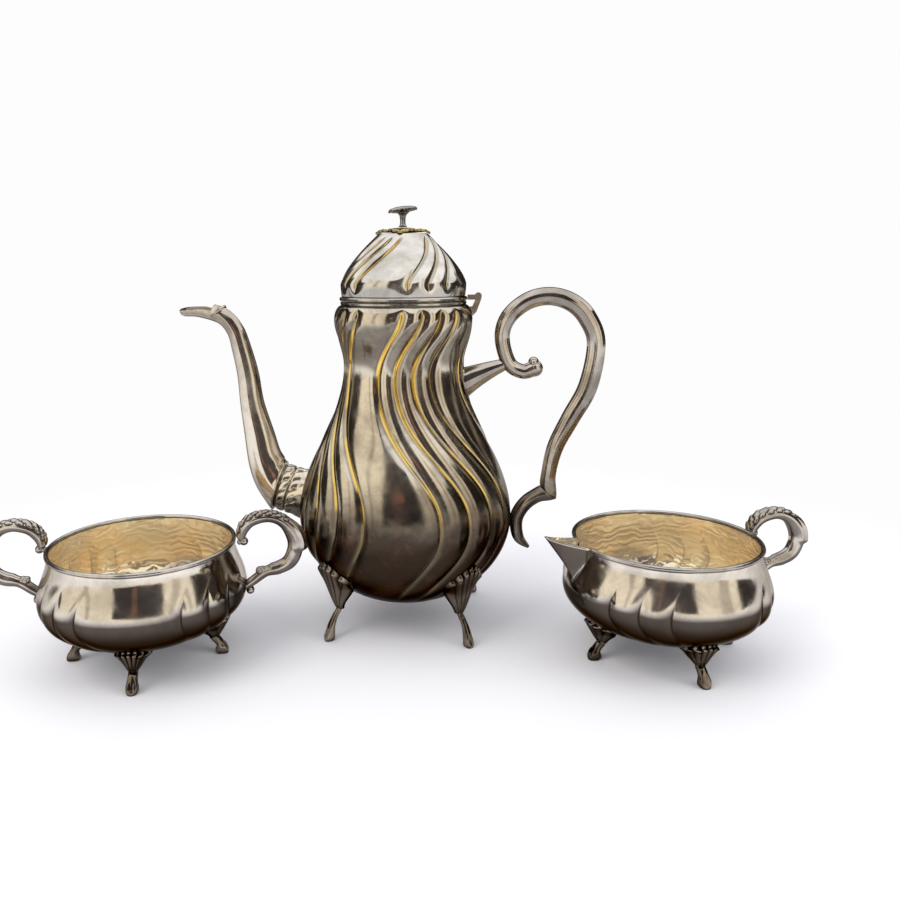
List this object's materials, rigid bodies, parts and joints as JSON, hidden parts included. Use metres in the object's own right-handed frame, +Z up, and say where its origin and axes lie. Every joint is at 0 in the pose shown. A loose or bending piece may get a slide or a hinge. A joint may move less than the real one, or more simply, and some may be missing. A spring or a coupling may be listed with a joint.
{
  "type": "silver coffee service",
  "caption": "Footed coffee pot with hinged lid, spout and scroll handle, with a two-handled sugar bowl and a lipped creamer; spiral flutes, shell feet, gilt insides.",
  "frame": {"origin": "middle of the service's bounding box, on the table that the feet stand on", "axes": "+X from the coffee pot's spout to its handle, -Y towards the viewer with the sugar bowl at the left and the creamer at the right, +Z up"},
  "size_m": [0.4572, 0.1888, 0.25],
  "materials": {
    "silver": "polished",
    "cast_silver": "polished",
    "gilt": "polished"
  },
  "bodies": {
    "pot": {"pot_body": "silver", "mouth_wire": "silver", "spout": "silver", "spout_collar": "cast_silver", "pot_handle": "cast_silver", "handle_upper_socket": "cast_silver", "handle_lower_socket": "cast_silver", "hinge_bracket": "cast_silver", "hinge_pin": "cast_silver", "pot_foot_1": "cast_silver", "pot_foot_2": "cast_silver", "pot_foot_3": "cast_silver", "pot_foot_4": "cast_silver"},
    "lid": {"lid_dome": "silver", "lid_flange": "silver", "lid_bezel": "gilt", "lid_hinge_lug": "cast_silver", "lid_leaf": "cast_silver", "finial": "cast_silver", "finial_nut": "cast_silver"},
    "sugar_bowl": {"sugar_body": "silver", "sugar_rim": "silver", "sugar_handle_left": "cast_silver", "sugar_handle_right": "cast_silver", "sugar_foot_1": "cast_silver", "sugar_foot_2": "cast_silver", "sugar_foot_3": "cast_silver", "sugar_foot_4": "cast_silver"},
    "creamer": {"creamer_body": "silver", "creamer_rim": "silver", "creamer_lip": "silver", "creamer_handle": "cast_silver", "creamer_foot_1": "cast_silver", "creamer_foot_2": "cast_silver", "creamer_foot_3": "cast_silver", "creamer_foot_4": "cast_silver"}
  },
  "joints": [
    {"name": "lid_hinge", "type": "hinge", "parent": "pot", "child": "lid", "pos_m": [0.04024, 0.03055, 0.19705], "axis": [0, 1, 0], "range_deg": [0, 105]},
    {"name": "sugar_bowl_lift", "type": "slide", "parent": "pot", "child": "sugar_bowl", "axis": [0, 0, 1], "range_m": [0, 0.15]},
    {"name": "creamer_lift", "type": "slide", "parent": "pot", "child": "creamer", "axis": [0.4, -0.3, 0.866], "range_m": [0, 0.15]}
  ]
}
